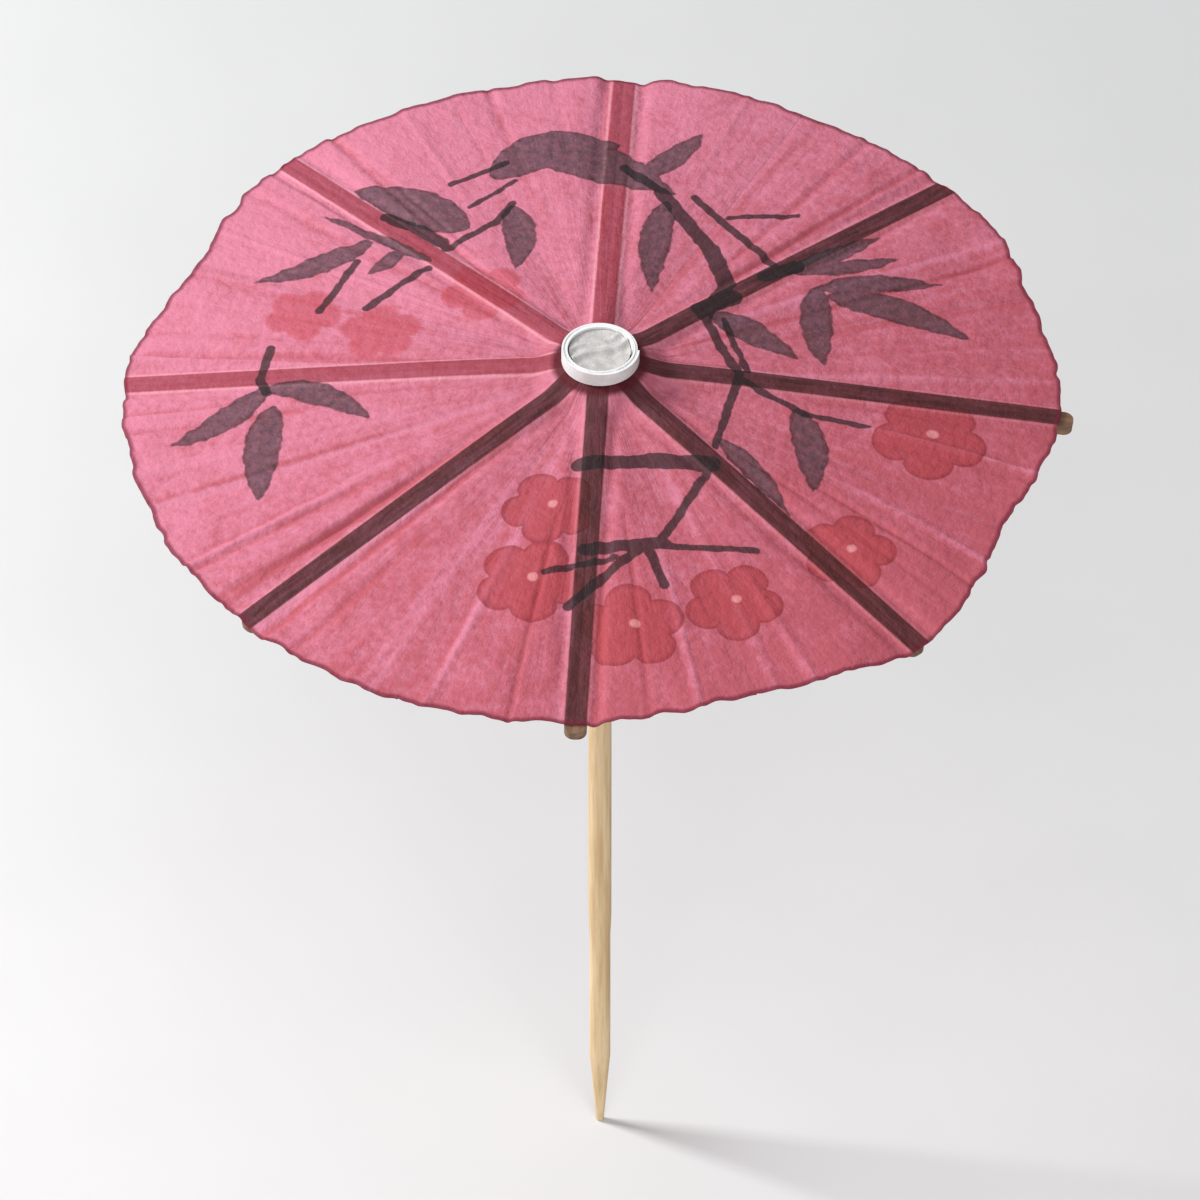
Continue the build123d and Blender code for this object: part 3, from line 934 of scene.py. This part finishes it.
def lay_out(sheet, along, away, side):
    """Lay a grid out as a flat half gore. Gives each point's distance beside the rib, share and sink."""
    thickness = sheet.verts.layers.float.new("thickness")
    spots = []
    for vertex in sheet.verts:
        out = vertex.co.y + 0.5
        end = seam_angle(GORE_START + out * (rim_reach - GORE_START))
        angle = (vertex.co.x + 0.5) * end
        way = along * cos(angle) + away * sin(angle)
        reach = GORE_START + out * (rim_at(atan2(way.y, way.x)) - GORE_START)
        vertex.co = apex + way * reach
        overlap = (end - gore_angle) * reach
        lap = step_up((angle - gore_angle) * reach, -overlap - LAP_FADE, -overlap)
        vertex[thickness] = PAPER - (PAPER - THIN_EDGE) * lap if side < 0 else PAPER
        sink = LAP_DROP * lap * step_up(reach, *LAP_RUN) if side > 0 else 0
        sink += crease_dip(reach) * step_up(angle, 0, gore_angle)
        spots.append((reach * sin(angle), angle / gore_angle, sink))
    return spots


def thicken_down(sheet):
    """Extrude a sheet's underside, by each vertex's own thickness."""
    extruded = bmesh.ops.extrude_face_region(sheet, geom=sheet.faces[:], use_keep_orig=True)["geom"]
    thickness = sheet.verts.layers.float["thickness"]
    for part in extruded:
        if isinstance(part, bmesh.types.BMVert):
            part.co.z -= part[thickness]
    bmesh.ops.recalc_face_normals(sheet, faces=sheet.faces)


print("a half gore is a grid of", COLUMNS, "by", ROWS, "faces")

# %% Cut the half gores
BEND_START = 0.9 * MM
BEND_END = 2.4 * MM


def cut_half_gore(number, side):
    """The half gore on the left (+1) or right (-1) of a rib, its flat size and its area."""
    hinge, along, across = rib_lines(number)
    word = "left" if side > 0 else "right"
    sheet = bmesh.new()
    bmesh.ops.create_grid(sheet, x_segments=COLUMNS, y_segments=ROWS, size=0.5)
    spots = lay_out(sheet, along, away_from_rib(along, across, side), side)
    width = max(beside_rib for beside_rib, share, sink in spots)
    length = max((vertex.co - apex).length for vertex in sheet.verts) - GORE_START
    area = sum(face.calc_area() for face in sheet.faces)
    heights = crease_heights(np.array([vertex.co.xy for vertex in sheet.verts]))
    for vertex, (beside_rib, share, sink), crease in zip(sheet.verts, spots, heights):
        vertex.co.z += paper_height(vertex.co.x, vertex.co.y, beside_rib, share, crease) - sink
    top_count = len(sheet.verts)
    thicken_down(sheet)
    piece = add_piece(sheet, f"paper_{number}_{word}", canopy_paper)
    map_paper(piece, top_count)
    bend_from = hinge + across * side * BEND_START
    bend_to = hinge + across * side * BEND_END
    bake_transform(piece, f"rib_{number}", f"panel_{number}_{word}", bend_from, bend_to)
    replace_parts(piece, f"canopy_panel_{number}_{word}")
    return piece, (width, length), area


half_gores = {}
for number in range(1, RIB_COUNT + 1):
    half_gores[number, "left"] = cut_half_gore(number, 1)
    half_gores[number, "right"] = cut_half_gore(number, -1)
print(len(half_gores), "half gores of", len(half_gores[1, "left"][0].data.polygons), "faces")

# %% [markdown]
# ## The middle of the sheet
# Under the white roll the sheet lies flat on the crown and then bends down to the ribs. Eight neck
# pieces bend there: each follows the fixed crown at its inner end and its rib at its outer end, and
# lies just under the half gores. A small disc is the clamped centre. Both start as open sheets, so
# their faces are turned up before they get a thickness.

# %% Necks
NECK_START = 2.0 * MM
NECK_END = 4.7 * MM
NECK_PAPER = 0.06 * MM
NECK_DROP = 0.17 * MM
NECK_TOP = rib_pivot.z + 0.98 * MM
NECK_TAPER = radians(4.4)
NECK_BEND = (2.7 * MM, 4.3 * MM)


def face_up(sheet):
    """Turn an open sheet's faces up."""
    bmesh.ops.recalc_face_normals(sheet, faces=sheet.faces)
    if sum(face.normal.z for face in sheet.faces) < 0:
        bmesh.ops.reverse_faces(sheet, faces=sheet.faces)


def cut_neck(number):
    """The sheet's neck at one rib, from under the roll to under the half gores."""
    rib_azimuth = RIB_STEP * (number - 1)
    neck = bmesh.new()
    bmesh.ops.create_grid(neck, x_segments=14, y_segments=22, size=0.5)
    for vertex in neck.verts:
        radius = NECK_START + (vertex.co.y + 0.5) * (NECK_END - NECK_START)
        half_angle = HALF_STEP - NECK_TAPER * step_up(radius, FLARE_START, NECK_END)
        azimuth = rib_azimuth + 2 * vertex.co.x * half_angle
        level = apex.z - radius * tan(slope) + flare(radius) - NECK_DROP
        vertex.co = (radius * cos(azimuth), radius * sin(azimuth), min(level, NECK_TOP))
    face_up(neck)
    top_count = len(neck.verts)
    bmesh.ops.solidify(neck, geom=neck.faces[:], thickness=NECK_PAPER)
    piece = add_piece(neck, f"paper_neck_{number}", canopy_paper)
    map_paper(piece, top_count)
    outward = Vector((cos(rib_azimuth), sin(rib_azimuth), 0))
    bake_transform(piece, "frame", f"rib_{number}", outward * NECK_BEND[0], outward * NECK_BEND[1])
    return piece


necks = {number: cut_neck(number) for number in range(1, RIB_COUNT + 1)}
print(len(necks), "necks from", round(NECK_START / MM, 1), "to", round(NECK_END / MM, 1), "mm")

# %% Centre
CENTRE_REACH = 3.0 * MM
CENTRE_HOLE = 0.4
CENTRE_LEVEL = rib_pivot.z + 1.04 * MM
CENTRE_PAPER = 0.05 * MM

centre = bmesh.new()
bmesh.ops.create_circle(centre, segments=64, radius=CENTRE_REACH)
inner = bmesh.ops.extrude_edge_only(centre, edges=centre.edges[:])["geom"]
inner_verts = [part for part in inner if isinstance(part, bmesh.types.BMVert)]
bmesh.ops.scale(centre, verts=inner_verts, vec=(CENTRE_HOLE, CENTRE_HOLE, 1))
bmesh.ops.translate(centre, verts=centre.verts, vec=(0, 0, CENTRE_LEVEL))
face_up(centre)
centre_top_count = len(centre.verts)
bmesh.ops.solidify(centre, geom=centre.faces[:], thickness=CENTRE_PAPER)
paper_centre = add_piece(centre, "paper_centre", canopy_paper)
map_paper(paper_centre, centre_top_count)
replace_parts(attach(paper_centre, "frame"), "canopy_centre")
print("centre", round(2 * CENTRE_REACH / MM, 1), "mm across")

# %% [markdown]
# ## Size of a half gore
# The flat size and area of the last half gore are printed.

for (number, word), (piece, size, area) in half_gores.items():
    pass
print("last half gore", in_mm(size), "mm,", round(area / MM ** 2), "square mm")

# %% [markdown]
# ## Plain papers
# Paper for the roll on top is white, and its pressed end is the same paper painted darker, as painted shade
# in the sunken middle. For the sleeve it is grey recycled stock. All three have fibres and faint clouds, so
# one function makes them.

# %% Three plain papers
def plain_paper(name, pale, dark):
    """Uncoated paper with fibres and faint clouds."""
    material, tree, shader = new_material(name)
    place = millimetres(tree)
    fibres = speckle(tree, place, 5.0, 4.0, 0.7)
    tone = weighted(tree, (fibres, 0.6), (speckle(tree, place, 0.8, 3.0), 0.4))
    fill(tree, shader, {
        "Base Color": mix(tree, ramp(tree, tone, 0.34, 0.66), dark, pale),
        "Roughness": calc(tree, "MULTIPLY_ADD", fibres, 0.2, 0.6),
        "Normal": bump(tree, fibres, 0.4, 0.05 * MM),
        "Specular IOR Level": 0.25,
    })
    return material


roll_paper = plain_paper("white roll paper", (0.80, 0.80, 0.79, 1), (0.66, 0.66, 0.65, 1))
# Painted shade: the roll's white paper painted darker for its sunken end.
roll_end_paper_with_painted_shade = plain_paper("roll end with painted shade", (0.58, 0.56, 0.54, 1), (0.40, 0.385, 0.37, 1))
sleeve_paper = plain_paper("grey sleeve paper", (0.62, 0.60, 0.54, 1), (0.42, 0.41, 0.38, 1))
print("papers:", ", ".join(paper.name for paper in (roll_paper, roll_end_paper_with_painted_shade, sleeve_paper)))

# %% [markdown]
# ## Rolled paper
# A strip of paper is wound round the stick above the sheet, and another makes the sleeve under the
# runner. A tube would look too neat. A wound strip is a long grid: its columns become turns that step
# outwards by a little more than the paper's thickness, and its edges are slightly uneven, as in any
# hand-rolled strip.

# %% Winding a strip
COLUMNS_PER_TURN = 56
STRIP_ROWS = 6
LOWER_UNEVEN = 0.4


def wind_strip(name, material, bore, outer, turns, thickness, low, high, uneven):
    """A strip wound from the bore to the outer radius, between two levels."""
    strip = bmesh.new()
    bmesh.ops.create_grid(strip, x_segments=turns * COLUMNS_PER_TURN, y_segments=STRIP_ROWS, size=0.5)
    pitch = (outer - bore - thickness) / turns
    for vertex in strip.verts:
        turn = (vertex.co.x + 0.5) * turns
        up = vertex.co.y + 0.5
        angle = 2 * pi * turn
        radius = bore + pitch * turn + 0.12 * pitch * noise.noise(Vector((turn * 2.3, up * 1.5, 0.7)))
        edge = uneven * noise.noise(Vector((turn * 1.7, 5.0 * (up > 0.5), 1.9)))
        edge_share = abs(2 * up - 1) * (1 if up > 0.5 else LOWER_UNEVEN)
        vertex.co = (radius * cos(angle), radius * sin(angle), low + (high - low) * up + edge * edge_share)
    bmesh.ops.recalc_face_normals(strip, faces=strip.faces)
    outermost = max(strip.faces, key=lambda face: face.calc_center_median().length)
    place = outermost.calc_center_median()
    if outermost.normal.dot(Vector((place.x, place.y, 0))) < 0:
        bmesh.ops.reverse_faces(strip, faces=strip.faces)
    bmesh.ops.solidify(strip, geom=strip.faces[:], thickness=-thickness)
    return add_piece(strip, name, material, 40)


print("strips have", COLUMNS_PER_TURN, "columns in each turn")

# %% [markdown]
# ## The white roll on top
# Seen from above, the roll is a bright ring with a sunken middle, where the inner end of the strip was
# pushed in and creased across; the middle's paper is painted darker, as painted shade. So the outer turns
# stand higher than the inner ones, and a small crumpled disc with two folds across it lies over the stick's
# end.

# %% Outer and inner turns
roll_low, roll_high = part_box("top_roll")
roll_reach = 3.72 * MM
roll_mouth = 2.95 * MM
crumple_reach = roll_mouth - 0.06 * MM
roll_foot = roll_low.z + 0.02 * MM
stick_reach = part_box("pick_stick")[1].x
outer_turns = wind_strip(
    "roll_outer", roll_paper, bore=roll_mouth, outer=roll_reach, turns=3, thickness=0.18 * MM,
    low=roll_foot, high=roll_high.z + 0.18 * MM, uneven=0.16 * MM,
)
inner_turns = wind_strip(
    "roll_inner", roll_paper, bore=stick_reach + 0.06 * MM, outer=crumple_reach, turns=7,
    thickness=0.19 * MM, low=roll_foot, high=roll_high.z - 0.75 * MM, uneven=0.10 * MM,
)
print("roll", round((roll_high.z - roll_low.z) / MM, 2), "mm high")

# %% Crumpled end
CRUMPLE_DROP = 0.24 * MM
CRUMPLE_PAPER = 0.07 * MM


def crumple_height(x, y):
    """Height of the crumpled end: two wavy folds across it, small crinkles and a raised edge."""
    along = x * 0.87 + y * 0.5
    aside = y * 0.87 - x * 0.5 + 0.3 * MM * sin(1.1 * along / MM)
    folds = ridge(aside, 0.34 * MM, 0.42 * MM) + ridge(aside - 1.25 * MM, 0.16 * MM, 0.3 * MM)
    crinkle = 0.08 * MM * noise.noise(Vector((x, y, 0)) / (0.9 * MM))
    dish = 0.16 * MM * (hypot(x, y) / crumple_reach) ** 4
    return folds + crinkle + dish


crumple = bmesh.new()
bmesh.ops.create_grid(crumple, x_segments=56, y_segments=56, size=1.0)
for vertex in crumple.verts:
    u, v = vertex.co.x, vertex.co.y
    x = u * (1 - v * v / 2) ** 0.5 * crumple_reach
    y = v * (1 - u * u / 2) ** 0.5 * crumple_reach
    vertex.co = (x, y, roll_high.z - CRUMPLE_DROP + crumple_height(x, y))
face_up(crumple)
bmesh.ops.solidify(crumple, geom=crumple.faces[:], thickness=CRUMPLE_PAPER)
roll_end = add_piece(crumple, "roll_end", roll_end_paper_with_painted_shade)
for piece in (outer_turns, inner_turns, roll_end):
    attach(piece, "frame")
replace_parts(outer_turns, "top_roll")
print("crumpled end", round(2 * crumple_reach / MM, 1), "mm across")

# %% [markdown]
# ## The sleeve under the runner
# A strip of scrap paper is rolled round the stick under the runner, and keeps it at a distance from
# the ring. It is wound like the roll, with a little room on the stick, and rides on the runner.

# %% Sleeve
sleeve_low, sleeve_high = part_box("runner_sleeve")
sleeve = wind_strip(
    "sleeve", sleeve_paper, bore=stick_reach + 0.13 * MM, outer=2.22 * MM, turns=4,
    thickness=0.15 * MM, low=sleeve_low.z + 0.05 * MM, high=sleeve_high.z - 0.02 * MM, uneven=0.12 * MM,
)
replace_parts(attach(sleeve, "runner"), "runner_sleeve")
print("sleeve", round((sleeve_high.z - sleeve_low.z) / MM, 2), "mm long")

# %% [markdown]
# ## Sizes
# The visual model's box is printed here, to set beside the CAD model's box that was printed when the frame
# loaded.

# %% Print the visual box
visual_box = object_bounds()
print("visual box", in_mm(visual_box[1] - visual_box[0]), "mm")
